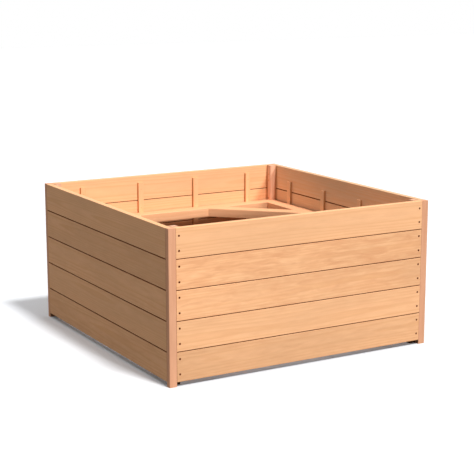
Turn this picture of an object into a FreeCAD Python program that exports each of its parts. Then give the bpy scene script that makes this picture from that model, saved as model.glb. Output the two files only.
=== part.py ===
# Square raised garden bed: four walls of grooved boards on corner posts, with upright battens
# inside the walls and a bracing ring below the rim. It is open at the top and at the bottom.
# Millimetres. The origin is on the ground at the centre of the bed, with X to the right along
# the front wall, Y towards the rear wall and Z up.
import FreeCAD, Part
import math
import os

# Driving dimensions: the bed
bed_length = 1200.0         # outside, along X
bed_width = 1200.0          # outside, along Y
foot_height = 18.0          # the posts stand this far below the lowest boards

# Driving dimensions: the wall boards
board_count = 5             # boards in each wall, numbered from the top
board_face = 118.5          # from groove to groove on the outer face
top_board_face = 116.0      # the top board has its tongue sawn off
board_thickness = 24.0
groove_arris = 1.0          # bevels along the open joint between two boards
edge_arris = 1.0            # bevels on the rim and on the lowest edge
joint_step = 5.0            # the joint lies this much higher inside than outside, to shed rain
shoulder_gap = 3.0          # open joint, room for the boards to swell
tongue_height = 11.0        # above the outer joint line
tongue_inset = 8.5          # from either face of the board to the tongue
tongue_gap = 0.5            # the groove is this much wider and deeper than the tongue
board_end_gap = 0.5         # from the end of a front or rear board to the corner strip

# Driving dimensions: the corners
post_side = 33.0            # square post inside the corner
strip_width = 31.0          # face of the strip that covers the corner
upright_arris = 1.2         # bevels on the long edges of posts and strips

# Driving dimensions: the battens inside the walls
batten_count = 4            # in each wall
batten_width = 26.0
batten_thickness = 12.0
batten_arris = 1.0
batten_inset = 171.5        # from the outside of the corner to the first batten's centre
batten_lift = 18.0          # from the lowest board's edge to the foot of a batten
end_batten_drop = 30.0      # from the rim to a batten's top, on the front and rear walls
side_batten_drop = 63.0     # the same on the left and right walls
side_batten_shift = 14.0    # the side walls' battens stand this much nearer the front

# Driving dimensions: the bracing ring
ring_drop = 168.0           # from the rim to the top of the ring
rail_width = 64.0           # lying flat
rail_height = 40.0
brace_width = 64.0
brace_leg = 235.0           # short side of the open triangle in each corner
rail_arris = 1.5
post_notch_gap = 1.0        # around the post where a rail is notched

# Driving dimensions: the fasteners
screw_length = 50.0
screw_radius = 2.25
screw_head_radius = 4.2
screw_head_depth = 3.2
screw_tip = 5.0
screw_sink = 0.4            # the head lies this much below the wood
screw_star_radius = 2.3     # six-lobed drive
screw_star_arm = 1.3
screw_star_depth = 2.0
end_screw_inset = 29.5      # from a board's edge to a screw, on the front and rear walls
side_screw_spread = 30.0    # between the two screws of a side board
toe_angle = 35.0            # of a slanted screw, above the level
toe_distance = 20.0         # from the joint that it closes to where its line enters the wood
toe_sink = 3.8              # height of its head above the underside of the ring
toe_access = 14.0           # length of the slanted bore behind its head
nail_length = 30.0
nail_radius = 1.2
nail_head_radius = 2.2
nail_drop = 30.0            # from the top of what a batten covers of a board to its nail
pin_length = 50.0
pin_radius = 1.0
pin_head_radius = 1.5
nail_head_depth = 1.5
nail_tip = 3.0
hole_gap = 0.1              # between a fastener and its hole

# Sizes that follow
half_length = bed_length / 2
half_width = bed_width / 2
rim = foot_height + board_face * (board_count - 1) + top_board_face
post_face = board_thickness + post_side                # outside of the bed to the post's inner face
rail_outer = board_thickness + batten_thickness        # outside of the bed to the rail
rail_inner = rail_outer + rail_width
ring_top = rim - ring_drop
ring_foot = ring_top - rail_height
cut_over = 1.0                                         # a cutter reaches this far out of the wood

UP = FreeCAD.Vector(0, 0, 1)
INWARDS = FreeCAD.Vector(0, 1, 0)
OUTWARDS = FreeCAD.Vector(0, -1, 0)
SLANTED = FreeCAD.Vector(0, -math.cos(math.radians(toe_angle)), math.sin(math.radians(toe_angle)))


def turned(shape, angle):
    """The shape turned about the bed's upright axis."""
    copy = shape.copy()
    copy.rotate(FreeCAD.Vector(0, 0, 0), UP, angle)
    return copy


def prism(points, along):
    """A solid drawn out from a flat outline."""
    wire = Part.makePolygon([FreeCAD.Vector(*point) for point in points + points[:1]])
    return Part.Face(wire).extrude(FreeCAD.Vector(*along))


def bevelled(low_a, high_a, low_b, high_b, arris):
    """Corners of a rectangle with its four arrises taken off."""
    return [
        (low_a + arris, low_b), (high_a - arris, low_b),
        (high_a, low_b + arris), (high_a, high_b - arris),
        (high_a - arris, high_b), (low_a + arris, high_b),
        (low_a, high_b - arris), (low_a, low_b + arris),
    ]


def upright(low_x, high_x, low_y, high_y, low_z, high_z, arris):
    """A post, strip or batten."""
    outline = bevelled(low_x, high_x, low_y, high_y, arris)
    return prism([(x, y, low_z) for x, y in outline], (0, 0, high_z - low_z))


def lying(half_run, low_y, high_y, low_z, high_z, arris):
    """A bar along X, centred."""
    outline = bevelled(low_y, high_y, low_z, high_z, arris)
    return prism([(-half_run, y, z) for y, z in outline], (2 * half_run, 0, 0))


# Fasteners. Each is drawn with its head at the origin and its shank along +Z, then placed.

def turned_profile(points):
    """A solid of revolution about Z from (radius, height) points that begin and end on the axis."""
    wire = Part.makePolygon([FreeCAD.Vector(r, 0, z) for r, z in points + points[:1]])
    return Part.Face(wire).revolve(FreeCAD.Vector(0, 0, 0), UP, 360)


def fastener_profile(head_radius, head_depth, radius, length, tip):
    return [(0, 0), (head_radius, 0), (radius, head_depth), (radius, length - tip), (0, length)]


def drill_profile(head_radius, head_depth, radius, length, tip, back):
    """The hole for a fastener: its own shape grown by the gap, and open behind the head."""
    head = head_radius + hole_gap
    shank = radius + hole_gap
    return [(0, -back), (head, -back), (head, 0), (shank, head_depth), (shank, length - tip),
            (hole_gap, length + hole_gap), (0, length + hole_gap)]


screw_sizes = (screw_head_radius, screw_head_depth, screw_radius, screw_length, screw_tip)
nail_sizes = (nail_head_radius, nail_head_depth, nail_radius, nail_length, nail_tip)
pin_sizes = (pin_head_radius, nail_head_depth, pin_radius, pin_length, nail_tip)

screw_shape = turned_profile(fastener_profile(*screw_sizes))
for arm in range(3):
    lobe = Part.makeBox(2 * screw_star_radius, screw_star_arm, screw_star_depth)
    lobe.translate(FreeCAD.Vector(-screw_star_radius, -screw_star_arm / 2, 0))
    screw_shape = screw_shape.cut(turned(lobe, 60 * arm))
nail_shape = turned_profile(fastener_profile(*nail_sizes))
pin_shape = turned_profile(fastener_profile(*pin_sizes))
screw_drill = turned_profile(drill_profile(*screw_sizes, screw_sink + cut_over))
toe_drill = turned_profile(drill_profile(*screw_sizes, toe_access))
nail_drill = turned_profile(drill_profile(*nail_sizes, cut_over))
pin_drill = turned_profile(drill_profile(*pin_sizes, cut_over))

fasteners = {}              # node name to its separate solids
drills = []                 # one hole cutter for each fastener


def drive(node, shape, drill, at, direction, turn):
    """Put a fastener with its head at a point of the front wall, and turn both to their wall."""
    place = FreeCAD.Placement(FreeCAD.Vector(*at), FreeCAD.Rotation(UP, direction))
    for source, target in ((shape, fasteners.setdefault(node, [])), (drill, drills)):
        copy = source.copy()
        copy.Placement = place
        target.append(turned(copy, turn))


# The walls. Each is laid out as the front wall is and then turned to its side: along is X,
# run is half the wall's length and depth is from the bed's centre to the wall's outer face.

def board_lines(number):
    """Lower and upper joint line of a board, on its outer face."""
    if number == 1:
        return rim - top_board_face, rim
    low = rim - top_board_face - board_face * (number - 1)
    return low, low + board_face


def board_outline(number):
    """Cross-section of a board as (distance in from the outer face, height) points."""
    low, high = board_lines(number)
    inside = board_thickness
    tongue_out = tongue_inset
    tongue_in = board_thickness - tongue_inset
    if number == board_count:
        points = [(0, low + edge_arris), (edge_arris, low),
                  (inside - edge_arris, low), (inside, low + edge_arris)]
    else:
        roof = low + tongue_height + tongue_gap
        points = [(0, low + groove_arris), (groove_arris, low),
                  (tongue_out - tongue_gap, low), (tongue_out - tongue_gap, roof),
                  (tongue_in + tongue_gap, roof), (tongue_in + tongue_gap, low + joint_step),
                  (inside - groove_arris, low + joint_step),
                  (inside, low + joint_step + groove_arris)]
    if number == 1:
        points += [(inside, high - edge_arris), (inside - edge_arris, high),
                   (edge_arris, high), (0, high - edge_arris)]
    else:
        shoulder = high - shoulder_gap
        points += [(inside, shoulder + joint_step - groove_arris),
                   (inside - groove_arris, shoulder + joint_step),
                   (tongue_in, shoulder + joint_step), (tongue_in, high + tongue_height),
                   (tongue_out, high + tongue_height), (tongue_out, shoulder),
                   (groove_arris, shoulder), (0, shoulder - groove_arris)]
    return points


def board(number, run, depth, end_inset):
    half_run = run - end_inset
    outline = [(-half_run, inwards - depth, height) for inwards, height in board_outline(number)]
    return prism(outline, (2 * half_run, 0, 0))


def batten_places(run, shift):
    """Centres of a wall's battens along the wall."""
    first = batten_inset - run
    pitch = -2 * first / (batten_count - 1)
    return [first + pitch * index + shift for index in range(batten_count)]


def batten(along, depth, drop):
    return upright(along - batten_width / 2, along + batten_width / 2,
                   board_thickness - depth, rail_outer - depth,
                   foot_height + batten_lift, rim - drop, batten_arris)


def rail(half_run, run, depth):
    """A rail of the ring, notched around the posts that it reaches."""
    bar = lying(half_run, rail_outer - depth, rail_inner - depth, ring_foot, ring_top, rail_arris)
    notch = post_face + post_notch_gap
    for side in (-1, 1):
        room = Part.makeBox(notch, notch, rail_height)
        room.translate(FreeCAD.Vector(-notch / 2 + side * (run - notch / 2), -depth, ring_foot))
        bar = bar.cut(room)
    return bar


def toe_screw(node, along, joint, turn):
    """A screw slanted up and outwards through a joint, from the underside of the ring."""
    head = joint + toe_distance - toe_sink / math.tan(math.radians(toe_angle))
    drive(node, screw_shape, toe_drill, (along, head, ring_foot + toe_sink), SLANTED, turn)


pieces = {}                 # node name to its solid, before its holes are made

walls = (
    # name, turn, half run, depth, board end inset, batten drop, batten shift along the wall
    ("front", 0, half_length, half_width, strip_width + board_end_gap, end_batten_drop, 0),
    ("right", 90, half_width, half_length, board_thickness, side_batten_drop, -side_batten_shift),
    ("rear", 180, half_length, half_width, strip_width + board_end_gap, end_batten_drop, 0),
    ("left", 270, half_width, half_length, board_thickness, side_batten_drop, side_batten_shift),
)

for name, turn, run, depth, end_inset, drop, shift in walls:
    is_side = name in ("left", "right")
    places = batten_places(run, shift)

    # Boards, and the two screws at each end of each: from outside on the front and rear walls,
    # and from inside through the post on the side walls.
    for number in range(1, board_count + 1):
        low, high = board_lines(number)
        pieces[f"{name}_board_{number}"] = turned(board(number, run, depth, end_inset), turn)
        for end in (-1, 1):
            if is_side:
                along = end * (run - board_thickness - post_side / 2)
                head = post_face - depth - screw_sink
                middle = (low + high) / 2
                heights = (middle - side_screw_spread / 2, middle + side_screw_spread / 2)
                direction = OUTWARDS
            else:
                along = end * (run - (strip_width + post_face) / 2)
                head = screw_sink - depth
                heights = (low + end_screw_inset, high - end_screw_inset)
                direction = INWARDS
            for height in heights:
                drive(f"{name}_wall_screws", screw_shape, screw_drill,
                      (along, head, height), direction, turn)

        # A batten is nailed once to each board that it crosses.
        nail_height = min(high, rim - drop) - nail_drop
        for along in places:
            drive("batten_nails", nail_shape, nail_drill,
                  (along, rail_outer - depth, nail_height), OUTWARDS, turn)

        # The corner strips are pinned into the ends of the side boards.
        if is_side:
            for end, outwards in ((-1, FreeCAD.Vector(1, 0, 0)), (1, FreeCAD.Vector(-1, 0, 0))):
                drive("strip_pins", pin_shape, pin_drill,
                      (end * run, board_thickness / 2 - depth, (low + high) / 2), outwards, turn)

    for index, along in enumerate(places, 1):
        pieces[f"{name}_batten_{index}"] = turned(batten(along, depth, drop), turn)

    # The side rails lie between the front rail and the rear rail.
    half_run = run - (rail_inner if is_side else rail_outer)
    pieces[f"{name}_ring_rail"] = turned(rail(half_run, run, depth), turn)
    for along in places:
        toe_screw("rail_screws", along, rail_outer - depth, turn)
    for end in (-1, 1):
        brace_middle = run - rail_inner - brace_leg - brace_width / math.sqrt(2)
        toe_screw("brace_screws", end * brace_middle, rail_inner - depth, turn)
        if not is_side:
            toe_screw("brace_screws", end * (run - (rail_outer + rail_inner) / 2),
                      rail_inner - depth, turn)

# The corners: a square post inside, and a strip outside that covers the side boards' ends.
frame_length = half_length - rail_inner
frame_width = half_width - rail_inner
inner_frame = Part.makeBox(2 * frame_length, 2 * frame_width, rail_height,
                           FreeCAD.Vector(-frame_length, -frame_width, ring_foot))
for name, side_x, side_y in (("front_left", -1, -1), ("front_right", 1, -1),
                             ("rear_left", -1, 1), ("rear_right", 1, 1)):
    post_x = side_x * (half_length - board_thickness - post_side / 2)
    post_y = side_y * (half_width - board_thickness - post_side / 2)
    strip_x = side_x * (half_length - strip_width / 2)
    strip_y = side_y * (half_width - board_thickness / 2)
    pieces[f"{name}_post"] = upright(
        post_x - post_side / 2, post_x + post_side / 2,
        post_y - post_side / 2, post_y + post_side / 2, 0, rim, upright_arris)
    pieces[f"{name}_corner_strip"] = upright(
        strip_x - strip_width / 2, strip_x + strip_width / 2,
        strip_y - board_thickness / 2, strip_y + board_thickness / 2, 0, rim, upright_arris)

    # The brace runs at 45 degrees across the corner, and its ends are mitred to the rails.
    brace = lying(bed_length + bed_width, -brace_width / 2, brace_width / 2,
                  ring_foot, ring_top, rail_arris)
    brace = turned(brace, -45 * side_x * side_y)
    reach = (brace_leg + brace_width / math.sqrt(2)) / 2
    brace.translate(FreeCAD.Vector(side_x * (frame_length - reach),
                                   side_y * (frame_width - reach), 0))
    pieces[f"{name}_brace"] = brace.common(inner_frame)


def drilled(solid):
    """The solid with a hole for each fastener that enters it."""
    entering = [drill for drill in drills if drill.BoundBox.intersect(solid.BoundBox)]
    return solid.cut(entering) if entering else solid


os.makedirs("parts", exist_ok=True)
for node, solid in pieces.items():
    drilled(solid).exportStep(f"parts/{node}.step")
for node, solids in fasteners.items():
    Part.makeCompound(solids).exportStep(f"parts/{node}.step")
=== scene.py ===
# Square raised garden bed in planed softwood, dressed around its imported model. Metres.
import math
import random

import bmesh
import bpy
from mathutils import Euler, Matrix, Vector


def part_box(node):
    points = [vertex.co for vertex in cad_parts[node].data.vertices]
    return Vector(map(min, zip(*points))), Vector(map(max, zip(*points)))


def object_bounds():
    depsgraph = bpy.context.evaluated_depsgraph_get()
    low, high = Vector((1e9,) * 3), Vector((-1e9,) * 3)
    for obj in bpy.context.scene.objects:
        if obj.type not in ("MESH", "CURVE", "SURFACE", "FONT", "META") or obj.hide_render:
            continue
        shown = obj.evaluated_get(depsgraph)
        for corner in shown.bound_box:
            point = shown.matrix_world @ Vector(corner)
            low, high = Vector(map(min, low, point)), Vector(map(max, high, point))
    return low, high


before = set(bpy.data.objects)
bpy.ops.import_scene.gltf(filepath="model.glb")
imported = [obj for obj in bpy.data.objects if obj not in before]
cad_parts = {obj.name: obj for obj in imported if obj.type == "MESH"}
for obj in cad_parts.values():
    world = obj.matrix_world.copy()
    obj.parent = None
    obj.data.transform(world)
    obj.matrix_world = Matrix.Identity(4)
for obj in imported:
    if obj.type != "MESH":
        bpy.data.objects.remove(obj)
cad_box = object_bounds()
scene = bpy.context.scene
scene.view_settings.view_transform = "Standard"
MM = 0.001


# The camera stands in front and to the left, at about eye height, as the photograph's does.
# Its focal length and place come from the bed's own edges.
FRAME_PIXELS = 474
FOCAL_PIXELS = 1287.0
SENSOR_WIDTH = 36.0
camera_place = Vector((-2.697, -4.707, 1.528))
camera_turn = math.radians(-30.17)
camera_dip = math.radians(11.65)

lens = bpy.data.cameras.new("camera")
lens.sensor_width = SENSOR_WIDTH
lens.lens = FOCAL_PIXELS * SENSOR_WIDTH / FRAME_PIXELS
camera = bpy.data.objects.new("camera", lens)
camera.location = camera_place
camera.rotation_euler = (math.pi / 2 - camera_dip, 0, camera_turn)
scene.collection.objects.link(camera)
scene.camera = camera


# Wall boards: planed softwood, sawn flat from the log, so that the growth rings draw long
# streaks and arches on the face and arcs on the ends. Each board is from its own log, so no
# streak runs on across a groove.
BOARD_EARLY = "FAC190"      # pale wood of spring
SHADED_WALL_EARLY = "E9BE96"       # painted shade: the boards of the shaded right wall get a less red, cooler copy of the pale wood
BOARD_LATE = "DF9D63"       # darker line that ends each ring
BOARD_FLECK = "E5A576"      # redder patches
KNOT = "8A5230"
JOINT_SHADE = "96643E"      # painted shade: the wood inside the open joints is darkened brown, where shade falls
CORNER_SHADE = "E4DACB"     # painted shade: a little darker in the corners, on the walls beside the posts and on the posts' edges
ASKEW = (0.8, 0.5)          # most degrees that a piece is sawn askew to its log
PITH_SPREAD = (0.6, 1.4)    # how much the pith's distance varies from piece to piece
LOG_METRES = 20.0           # each piece comes from its own place along this much log
RING_MM = 6.0               # drawn wide, because real rings of 2 mm would not show
RING_SHARE = 0.3            # the rings are faint
RING_STOPS = ((0.0, 0.0), (0.5, 0.2), (0.84, 1.0), (0.93, 0.8), (1.0, 0.0))
WARP_MM = 12.0              # how far the rings wander from a circle
WARP_ACROSS_MM = 70.0       # and over what width and length
WARP_RUN_MM = 600.0
FIBRE_MM = 3.0              # width of the fine streaks along the grain, drawn coarse as well
FIBRE_RUN_MM = 70.0         # and their length
FIBRE_SHADE = 0.12          # how much lighter a pale streak is than a dark one
FLECK_MM = 15.0             # width of the redder patches
FLECK_RUN_MM = 90.0
FLECK_TWIST = 0.6           # how far the patches are pulled out of shape
FLECK_STOPS = ((0.33, 0.0), (0.75, 1.0))
SWING_MM = 30.0             # how far the streaks of a figured board swing up and down
SWING_RUN_MM = 240.0
CLOUD_MM = 110.0            # width of the broad lighter and darker areas
CLOUD_RUN_MM = 420.0
CLOUD_SHADE = 0.25
NOISE_MEAN = 0.5            # Blender's noise lies about this
KNOT_CELL_MM = 310.0        # one place for a knot in each cell of this size
KNOT_SHARE = 0.15           # of the cells that hold one
KNOT_MM = 4.5               # radius of a pin knot
KNOT_STOPS = ((0.0, 1.0), (0.7, 0.85), (1.0, 0.0))
KNOT_DARK = 0.75
KNOT_BEND_MM = 20.0         # the rings bend round it out to here
KNOT_BEND = 0.5             # by up to this much of that distance
BEND_STOPS = ((0.0, 1.0), (0.4, 0.45), (1.0, 0.0))
BASE_SHADE = 0.95           # of a streak at its darkest, before the tone of the piece
FACE_ON_STOPS = ((0.8, 0.0), (0.95, 1.0))   # from a face turned away to one seen square on
PLANED_ROUGHNESS = 0.6
FIBRE_ROUGHNESS = 0.2       # added along the pale streaks
WOOD_IOR = 1.45
WOOD_GLOSS = 0.2            # bare planed softwood is nearly matt
RELIEF_MM = 0.2             # the plane leaves the hard ring lines and fibres proud
RELIEF_STRENGTH = 0.35
RING_RELIEF = 0.5           # against 1 for the fibres
GRAIN_TURNS = {             # turns each grain direction onto X
    "X": (0, 0, 0),
    "Y": (0, 0, -math.pi / 2),
    "Z": (0, math.pi / 2, 0),
    "XY": (0, 0, -math.pi / 4),
    "-XY": (0, 0, math.pi / 4),
}


def linear(hex_colour):
    """An sRGB hex colour as the linear RGBA that Blender works in."""
    values = [int(hex_colour[i:i + 2], 16) / 255 for i in (0, 2, 4)]
    return [v / 12.92 if v <= 0.04045 else ((v + 0.055) / 1.055) ** 2.4 for v in values] + [1]


def add(tree, kind, links=None, **settings):
    """Add a node with its settings, and link or set its sockets."""
    node = tree.nodes.new(kind)
    for setting, value in settings.items():
        setattr(node, setting, value)
    for socket, value in (links or {}).items():
        if isinstance(value, bpy.types.NodeSocket):
            tree.links.new(value, node.inputs[socket])
        else:
            node.inputs[socket].default_value = value
    return node


def maths(tree, operation, first, second=0.0, third=0.0):
    """One step of arithmetic."""
    return add(tree, "ShaderNodeMath", {0: first, 1: second, 2: third},
               operation=operation).outputs[0]


def ramp(tree, value, stops):
    """A ramp through (position, grey) stops."""
    node = add(tree, "ShaderNodeValToRGB", {"Fac": value})
    elements = node.color_ramp.elements
    elements[0].position, elements[1].position = stops[0][0], stops[-1][0]
    for position, _ in stops[1:-1]:
        elements.new(position)
    for element, (_, grey) in zip(elements, stops):
        element.color = (grey, grey, grey, 1)
    return node.outputs["Color"]


def noise(tree, place, across_mm, along_mm, detail=2.0, roughness=0.5):
    """Noise stretched along the grain."""
    along, across = 1 / (along_mm * MM), 1 / (across_mm * MM)
    stretched = add(tree, "ShaderNodeVectorMath", {0: place, 1: (along, across, across)},
                    operation="MULTIPLY")
    return add(tree, "ShaderNodeTexNoise",
               {"Vector": stretched.outputs[0], "Scale": 1.0, "Detail": detail,
                "Roughness": roughness})


def planed_wood(name, piece, grain, early, late, fleck, draw, pith_mm=(70, 25), tone=1.0,
                flecked=0.4, drift=0.0, end_dark=0.3, shade_marks=()):
    """Planed softwood: rings about a pith that runs beside the piece, fibres, patches, knots.

    pith_mm is how far off the pith runs, across and up. Each shade mark is a function that finds
    the places where shade is painted, and the colour that darkens them.
    """
    material = bpy.data.materials.new(name)
    material.use_nodes = True
    tree = material.node_tree
    tree.nodes.clear()

    # Coordinates of the log: X along the grain and the pith on the axis, a little askew.
    low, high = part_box(piece.name)
    turn = Euler(GRAIN_TURNS[grain])
    turn.y += math.radians(draw.uniform(-ASKEW[0], ASKEW[0]))
    turn.z += math.radians(draw.uniform(-ASKEW[1], ASKEW[1]))
    pith = (low + high) / 2
    pith.rotate(turn)
    depth, height = pith_mm
    pith.y += draw.choice((-1, 1)) * draw.uniform(*PITH_SPREAD) * depth * MM
    pith.z += draw.uniform(-1, 1) * height * MM
    pith.x = draw.uniform(-LOG_METRES, LOG_METRES)
    object_place = add(tree, "ShaderNodeTexCoord").outputs["Object"]
    log = add(tree, "ShaderNodeMapping",
              {"Vector": object_place, "Rotation": tuple(turn), "Location": tuple(-pith)}
              ).outputs["Vector"]

    # Knots stand in some cells, and the rings bend round them.
    cells = add(tree, "ShaderNodeTexVoronoi", {"Vector": log, "Scale": 1 / (KNOT_CELL_MM * MM)})
    chosen = maths(tree, "LESS_THAN", add(tree, "ShaderNodeSeparateColor",
                                          {0: cells.outputs["Color"]}).outputs[0], KNOT_SHARE)
    reach = maths(tree, "MULTIPLY", cells.outputs["Distance"], KNOT_CELL_MM)
    near = maths(tree, "MULTIPLY", ramp(tree, maths(tree, "DIVIDE", reach, KNOT_BEND_MM),
                                        BEND_STOPS), chosen)
    knot = maths(tree, "MULTIPLY", ramp(tree, maths(tree, "DIVIDE", reach, KNOT_MM),
                                        KNOT_STOPS), chosen)

    # Rings: distance from the pith, wandering a little, cut into steps. Each darkens slowly
    # and ends sharply.
    across = add(tree, "ShaderNodeVectorMath", {0: log, 1: (0, 1, 1)}, operation="MULTIPLY")
    radius = add(tree, "ShaderNodeVectorMath", {0: across.outputs[0]},
                 operation="LENGTH").outputs["Value"]
    warp = noise(tree, log, WARP_ACROSS_MM, WARP_RUN_MM, detail=1.0).outputs["Fac"]
    radius = maths(tree, "MULTIPLY_ADD", warp, WARP_MM * MM, radius)
    radius = maths(tree, "MULTIPLY_ADD", near, KNOT_BEND * KNOT_BEND_MM * MM, radius)
    count = maths(tree, "DIVIDE", radius, RING_MM * MM)
    ring = ramp(tree, maths(tree, "FRACT", count), RING_STOPS)

    # Streaks, patches and broad areas. The more flecked a board is, the more its streaks swing.
    wave = noise(tree, log, SWING_RUN_MM / 2, SWING_RUN_MM, detail=1.0).outputs["Fac"]
    swing = maths(tree, "MULTIPLY", maths(tree, "SUBTRACT", wave, NOISE_MEAN),
                  SWING_MM * MM * flecked)
    offset = add(tree, "ShaderNodeCombineXYZ", {"Y": swing, "Z": swing}).outputs[0]
    swung = add(tree, "ShaderNodeVectorMath", {0: log, 1: offset}, operation="ADD").outputs[0]
    fibre = noise(tree, swung, FIBRE_MM, FIBRE_RUN_MM, detail=3.0, roughness=0.6).outputs["Fac"]
    cloud = noise(tree, log, CLOUD_MM, CLOUD_RUN_MM).outputs["Fac"]
    patches = noise(tree, swung, FLECK_MM, FLECK_RUN_MM, detail=3.0)
    patches.inputs["Distortion"].default_value = FLECK_TWIST
    patch = ramp(tree, patches.outputs["Fac"], FLECK_STOPS)
    strength = maths(tree, "MULTIPLY", ring,
                     maths(tree, "MULTIPLY", cloud, RING_SHARE / NOISE_MEAN))
    colour = add(tree, "ShaderNodeMixRGB",
                 {"Fac": strength, "Color1": linear(early), "Color2": linear(late)})
    colour = add(tree, "ShaderNodeMixRGB",
                 {"Fac": maths(tree, "MULTIPLY", patch, flecked), "Color1": colour.outputs[0],
                  "Color2": linear(fleck)})
    shade = maths(tree, "MULTIPLY_ADD", fibre, FIBRE_SHADE, BASE_SHADE * tone)
    shade = maths(tree, "MULTIPLY_ADD", maths(tree, "SUBTRACT", cloud, NOISE_MEAN),
                  CLOUD_SHADE, shade)
    place = add(tree, "ShaderNodeSeparateXYZ", {0: object_place}).outputs
    if drift:
        shade = maths(tree, "MULTIPLY_ADD", place[grain], drift / half_bed, shade)
    colour = add(tree, "ShaderNodeMixRGB",
                 {"Fac": 1.0, "Color1": colour.outputs[0], "Color2": shade}, blend_type="MULTIPLY")
    colour = add(tree, "ShaderNodeMixRGB",
                 {"Fac": maths(tree, "MULTIPLY", knot, KNOT_DARK), "Color1": colour.outputs[0],
                  "Color2": linear(KNOT)})

    # Sawn ends drink light: they are darker than the planed faces.
    normal = add(tree, "ShaderNodeTexCoord").outputs["Normal"]
    turned = add(tree, "ShaderNodeVectorRotate",
                 {"Vector": normal, "Rotation": tuple(turn)}, rotation_type="EULER_XYZ")
    along = add(tree, "ShaderNodeSeparateXYZ", {0: turned.outputs[0]}).outputs["X"]
    end = ramp(tree, maths(tree, "ABSOLUTE", along), FACE_ON_STOPS)
    colour = add(tree, "ShaderNodeMixRGB",
                 {"Fac": maths(tree, "MULTIPLY", end, end_dark), "Color1": colour.outputs[0],
                  "Color2": linear(late)}, blend_type="MULTIPLY")

    # Painted shade: the found places are darkened, and made matt as well.
    rough = maths(tree, "MULTIPLY_ADD", fibre, FIBRE_ROUGHNESS, PLANED_ROUGHNESS)
    facing = add(tree, "ShaderNodeSeparateXYZ", {0: normal}).outputs
    for find, shade_colour in shade_marks:
        mask = find(tree, place, facing)
        colour = add(tree, "ShaderNodeMixRGB",
                     {"Fac": mask, "Color1": colour.outputs[0], "Color2": linear(shade_colour)},
                     blend_type="MULTIPLY")
        rough = maths(tree, "MAXIMUM", rough, mask)

    relief = maths(tree, "MULTIPLY_ADD", ring, RING_RELIEF, fibre)
    bump = add(tree, "ShaderNodeBump",
               {"Height": relief, "Strength": RELIEF_STRENGTH, "Distance": RELIEF_MM * MM})
    surface = add(tree, "ShaderNodeBsdfPrincipled",
                  {"Base Color": colour.outputs[0], "Normal": bump.outputs[0],
                   "Roughness": rough, "IOR": WOOD_IOR, "Specular IOR Level": WOOD_GLOSS})
    add(tree, "ShaderNodeOutputMaterial", {"Surface": surface.outputs[0]})
    return material


def dress(piece, material):
    """Give a carried-over piece its material."""
    piece.data.materials.clear()
    piece.data.materials.append(material)


boards = random.Random(11)
WALL_GRAIN = {"front": "X", "rear": "X", "left": "Y", "right": "Y"}
BOARD_LOOKS = {             # from the rim down: tone, its drift along the board, flecks
    "front": ((1.01, -0.01, 0.25), (1.0, -0.07, 1.0), (0.99, -0.07, 0.7), (1.01, 0.0, 0.35),
              (0.9, 0.04, 0.5)),
    "left": ((0.97, -0.02, 0.2), (0.93, 0.0, 0.4), (1.0, 0.0, 0.4), (1.0, 0.02, 0.3),
             (0.97, 0.0, 0.5)),
    "rear": ((0.96, -0.03, 0.2), (0.96, -0.01, 0.2), (0.98, 0.02, 0.5), (1.0, 0.0, 0.3),
             (0.95, 0.01, 0.6)),
    "right": ((1.0, 0.01, 0.3), (0.95, 0.0, 0.3), (0.98, -0.02, 0.6), (0.94, 0.0, 0.4),
              (0.98, 0.02, 0.3)),
}
WALL_THICK = 24 * MM
POST_SIDE = 33 * MM
JOINT_REACH = {"X": WALL_THICK / 2 - 0.9 * MM,  # each way from the middle of the wall: clear of
               "Y": WALL_THICK / 2 - 0.1 * MM}  # the arrises, but over them on the side walls
JOINT_STOP = 3 * MM                             # the painted shade stops short of the rim and the lowest edge
CORNER_WIDTH = 10 * MM                          # of the painted corner shade, each way from its line
SURFACE_DEPTH = 0.5 * MM                        # a face within this of a plane lies in it
half_bed = cad_box[1][0]
rim = cad_box[1][2]
wall_middle = half_bed - WALL_THICK / 2
wall_inside = half_bed - WALL_THICK


def in_joint(grain):
    """A board's faces inside its joints: between the wall's two faces, its foot and the rim."""
    across = "Y" if grain == "X" else "X"

    def find(tree, place, facing):
        depth = maths(tree, "ABSOLUTE", place[across])
        return maths(tree, "MULTIPLY",
                     maths(tree, "COMPARE", depth, wall_middle, JOINT_REACH[grain]),
                     maths(tree, "COMPARE", place["Z"], rim / 2, rim / 2 - JOINT_STOP))
    return find


def beside_post(tree, place, facing):
    """The strip of a side wall's inner face that lies next to a post."""
    inner = maths(tree, "LESS_THAN", maths(tree, "ABSOLUTE", place["X"]),
                  wall_inside + SURFACE_DEPTH)
    along = maths(tree, "ABSOLUTE", place["Y"])
    return maths(tree, "MULTIPLY", inner,
                 maths(tree, "COMPARE", along, wall_inside - POST_SIDE, CORNER_WIDTH))


for wall, grain in WALL_GRAIN.items():
    for number, (tone, drift, flecked) in enumerate(BOARD_LOOKS[wall], 1):
        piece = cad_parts[f"{wall}_board_{number}"]
        # painted shade in the joints, and on the side walls beside the posts
        shade_marks = [(in_joint(grain), JOINT_SHADE)]
        if grain == "Y":
            shade_marks.append((beside_post, CORNER_SHADE))
        dress(piece, planed_wood(f"planed_softwood_{piece.name}", piece, grain,
                                 SHADED_WALL_EARLY if wall == "right" else BOARD_EARLY,
                                 BOARD_LATE, BOARD_FLECK, boards, tone=tone, flecked=flecked,
                                 drift=drift, shade_marks=shade_marks))


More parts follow.
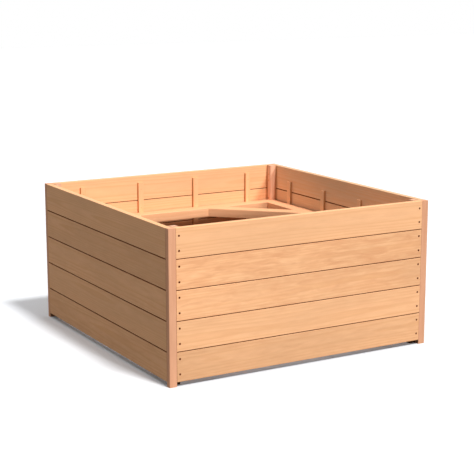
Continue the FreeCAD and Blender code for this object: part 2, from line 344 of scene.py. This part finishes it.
# Corner posts and strips: the same softwood cut from the pinker heartwood, with the grain
# upright. The strips cover the sawn ends of the side boards. The feet of the posts, in the gap
# under the boards, are darkened with painted shade, and so are their edges against the walls.
HEART_EARLY = "EDB08A"
HEART_LATE = "D2906A"
HEART_FLECK = "E0A07C"
POST_EARLY = "F2C2A2"       # the posts are a little paler than the strips
CORNERS = ("front_left", "front_right", "rear_left", "rear_right")
CORNER_TONES = {"front_left": 0.975, "front_right": 0.92, "rear_left": 0.88}
UPRIGHT_PITH_MM = (45, 10)
UPRIGHT_END_DARK = 0.05     # their tops are hardly darker than their faces
# painted shade on the feet of the posts, in the dark gap under the boards
FOOT_SHADE = "463C30"
FOOT_SHADE_HEIGHT = 22 * MM


def against_wall(tree, place, facing):
    """The edges of a post that meet the walls."""
    out = maths(tree, "MAXIMUM", maths(tree, "ABSOLUTE", place["X"]),
                maths(tree, "ABSOLUTE", place["Y"]))
    return maths(tree, "COMPARE", out, wall_inside, CORNER_WIDTH)


def in_foot_shade(tree, place, facing):
    """The foot of a post."""
    return maths(tree, "LESS_THAN", place["Z"], FOOT_SHADE_HEIGHT)


uprights = random.Random(23)
for corner in CORNERS:
    for part, early, shade_marks in (
            ("post", POST_EARLY, [(against_wall, CORNER_SHADE), (in_foot_shade, FOOT_SHADE)]),
            ("corner_strip", HEART_EARLY, [])):
        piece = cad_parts[f"{corner}_{part}"]
        dress(piece, planed_wood(f"planed_heartwood_{piece.name}", piece, "Z", early,
                                 HEART_LATE, HEART_FLECK, uprights, pith_mm=UPRIGHT_PITH_MM,
                                 tone=CORNER_TONES.get(corner, 1.0),
                                 end_dark=UPRIGHT_END_DARK, shade_marks=shade_marks))


# Battens: slim laths nailed upright to the inside of the boards, four in each wall. Only their
# faces are planed: the sides are left as sawn, which is rougher, and darkened with painted shade.
BATTEN_EARLY = "FAC08F"
BATTEN_LATE = "E2A068"
BATTEN_FLECK = "EAAA78"
# the sides of the laths: painted shade
SAWN_SIDE_SHADE = "DAD5CC"
BATTENS = 4
BATTEN_PITH_MM = (40, 10)


def sawn_side(grain):
    """The faces of a lath that look along its wall."""
    def find(tree, place, facing):
        return ramp(tree, maths(tree, "ABSOLUTE", facing[grain]), FACE_ON_STOPS)
    return find


laths = random.Random(37)
for wall, grain in WALL_GRAIN.items():
    for number in range(1, BATTENS + 1):
        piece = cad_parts[f"{wall}_batten_{number}"]
        dress(piece, planed_wood(f"planed_lath_{piece.name}", piece, "Z",
                                 SHADED_WALL_EARLY if wall == "right" else BATTEN_EARLY,
                                 BATTEN_LATE, BATTEN_FLECK, laths, pith_mm=BATTEN_PITH_MM,
                                 shade_marks=[(sawn_side(grain), SAWN_SIDE_SHADE)]))


# Bracing ring: flat rails along the walls and braces at 45 degrees across the corners, of
# the same planed softwood. It keeps the walls from bulging under the soil.
BRACING_EARLY = "F9BD8F"
BRACING_LATE = "DE9A66"
BRACING_FLECK = "E8A678"
BRACING_PITH_MM = (60, 30)
BRACE_GRAIN = {"front_left": "-XY", "front_right": "XY", "rear_left": "XY", "rear_right": "-XY"}
bracing_grain = {f"{wall}_ring_rail": grain for wall, grain in WALL_GRAIN.items()}
bracing_grain.update({f"{corner}_brace": grain for corner, grain in BRACE_GRAIN.items()})
bracing = random.Random(41)
for name, grain in bracing_grain.items():
    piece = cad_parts[name]
    dress(piece, planed_wood(f"planed_softwood_{piece.name}", piece, grain, BRACING_EARLY,
                             BRACING_LATE, BRACING_FLECK, bracing, pith_mm=BRACING_PITH_MM))


# Screws: countersunk steel with a reddish brown coating against rust, driven just below the
# wood with a star bit. The coating is dull, and a little uneven.
SCREW_COAT = "6A2A08"
SCREW_WORN = "84421C"
SCREW_METALLIC = 0.0        # the coating covers all of the steel
SCREW_ROUGHNESS = 0.6
COAT_GRIT_MM = 1.2
COAT_STOPS = ((0.45, 0.0), (0.75, 0.6))     # from whole coating to mostly worn
COAT_GLOSS = 0.1
COAT_GRIT_ROUGHNESS = 0.2
COAT_RELIEF_MM = 0.05
COAT_RELIEF_STRENGTH = 0.3


def coated_steel(name, coat, worn_coat, metallic, roughness):
    """Steel under a thin coating, which is gritty and worn to another colour in spots."""
    material = bpy.data.materials.new(name)
    material.use_nodes = True
    tree = material.node_tree
    tree.nodes.clear()
    grit = add(tree, "ShaderNodeTexNoise",
               {"Vector": add(tree, "ShaderNodeTexCoord").outputs["Object"],
                "Scale": 1 / (COAT_GRIT_MM * MM), "Detail": 3.0}).outputs["Fac"]
    colour = add(tree, "ShaderNodeMixRGB", {"Fac": ramp(tree, grit, COAT_STOPS),
                                            "Color1": linear(coat), "Color2": linear(worn_coat)})
    bump = add(tree, "ShaderNodeBump", {"Height": grit, "Strength": COAT_RELIEF_STRENGTH,
                                        "Distance": COAT_RELIEF_MM * MM})
    rough = maths(tree, "MULTIPLY_ADD", grit, COAT_GRIT_ROUGHNESS, roughness)
    surface = add(tree, "ShaderNodeBsdfPrincipled",
                  {"Base Color": colour.outputs[0], "Normal": bump.outputs[0],
                   "Roughness": rough, "Metallic": metallic, "Specular IOR Level": COAT_GLOSS})
    add(tree, "ShaderNodeOutputMaterial", {"Surface": surface.outputs[0]})
    return material


screw_finish = coated_steel("coated_screw_steel", SCREW_COAT, SCREW_WORN, SCREW_METALLIC,
                            SCREW_ROUGHNESS)
for name in ("front_wall_screws", "rear_wall_screws", "rail_screws", "brace_screws"):
    dress(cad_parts[name], screw_finish)


# Nails, pins and the screws that hold the side walls from inside: steel with heads lacquered
# in the colour of the wood and driven flush, so that they hardly show.
WOOD_LACQUER = "E3A77A"
WORN_LACQUER = "C08860"
LACQUER_METALLIC = 0.1      # a little steel shows through
LACQUER_ROUGHNESS = 0.5
lacquer_finish = coated_steel("lacquered_steel", WOOD_LACQUER, WORN_LACQUER, LACQUER_METALLIC,
                              LACQUER_ROUGHNESS)
for name in ("batten_nails", "strip_pins", "left_wall_screws", "right_wall_screws"):
    dress(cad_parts[name], lacquer_finish)


# The floor: a plain pale sheet. The camera sees it white with the bed's shadow, and it
# throws little light back up at the walls.
FLOOR_SIDE = 40.0
FLOOR_SEEN = (0.82, 0.84, 0.87, 1)
FLOOR_GLOW = 0.05
FLOOR_BACK = (0.06, 0.06, 0.06, 1)
WHITE = (1, 1, 1, 1)


def seen_straight(tree):
    """1 for the camera, mirrors and glass, and 0 for light that the surface throws back."""
    path = add(tree, "ShaderNodeLightPath").outputs
    seen = maths(tree, "MAXIMUM", path["Is Camera Ray"], path["Is Glossy Ray"])
    return maths(tree, "MAXIMUM", seen, path["Is Transmission Ray"])


sheet = bmesh.new()
bmesh.ops.create_grid(sheet, x_segments=1, y_segments=1, size=FLOOR_SIDE / 2)
floor_mesh = bpy.data.meshes.new("floor")
sheet.to_mesh(floor_mesh)
sheet.free()
floor = bpy.data.objects.new("floor", floor_mesh)
scene.collection.objects.link(floor)

paper = bpy.data.materials.new("pale_floor")
paper.use_nodes = True
tree = paper.node_tree
tree.nodes.clear()
seen_sheet = add(tree, "ShaderNodeBsdfDiffuse", {"Color": FLOOR_SEEN})
glow = add(tree, "ShaderNodeEmission", {"Color": WHITE, "Strength": FLOOR_GLOW})
lit_sheet = add(tree, "ShaderNodeAddShader", {0: seen_sheet.outputs[0], 1: glow.outputs[0]})
back_sheet = add(tree, "ShaderNodeBsdfDiffuse", {"Color": FLOOR_BACK})
both = add(tree, "ShaderNodeMixShader",
           {0: seen_straight(tree), 1: back_sheet.outputs[0], 2: lit_sheet.outputs[0]})
add(tree, "ShaderNodeOutputMaterial", {"Surface": both.outputs[0]})
floor.data.materials.append(paper)


# The light: one soft lamp high in front and a little to the right, a broad one overhead, low
# ones on all four sides, weak but for the front, and a pale sky that the camera sees as white.
SKY_LIGHT = 0.13            # what it gives the bed, against 1 to the camera
LAMPS = (
    # name, direction that its light travels, strength, width in degrees
    ("key", Vector((-0.13, 0.57, -1.0)), 2.5, 7.5),
    ("overhead", Vector((0.0, 0.05, -1.0)), 1.07, 70.0),
    ("front_fill", Vector((-0.12, 1.0, -0.19)), 1.45, 3.0),
    ("left_fill", Vector((1.0, 0.05, -0.18)), 0.42, 8.0),
    ("right_fill", Vector((-1.0, 0.0, -0.2)), 0.5, 8.0),
    ("rear_fill", Vector((0.0, -1.0, -0.2)), 0.5, 8.0),
)
for name, travels, strength, width in LAMPS:
    lamp = bpy.data.lights.new(name, "SUN")
    lamp.energy = strength
    lamp.angle = math.radians(width)
    holder = bpy.data.objects.new(name, lamp)
    holder.rotation_euler = travels.to_track_quat("-Z", "Y").to_euler()
    scene.collection.objects.link(holder)

sky = bpy.data.worlds.new("sky")
scene.world = sky
sky.use_nodes = True
tree = sky.node_tree
tree.nodes.clear()
level = maths(tree, "MULTIPLY_ADD", seen_straight(tree), 1 - SKY_LIGHT, SKY_LIGHT)
light = add(tree, "ShaderNodeBackground", {"Color": WHITE, "Strength": level})
add(tree, "ShaderNodeOutputWorld", {"Surface": light.outputs[0]})
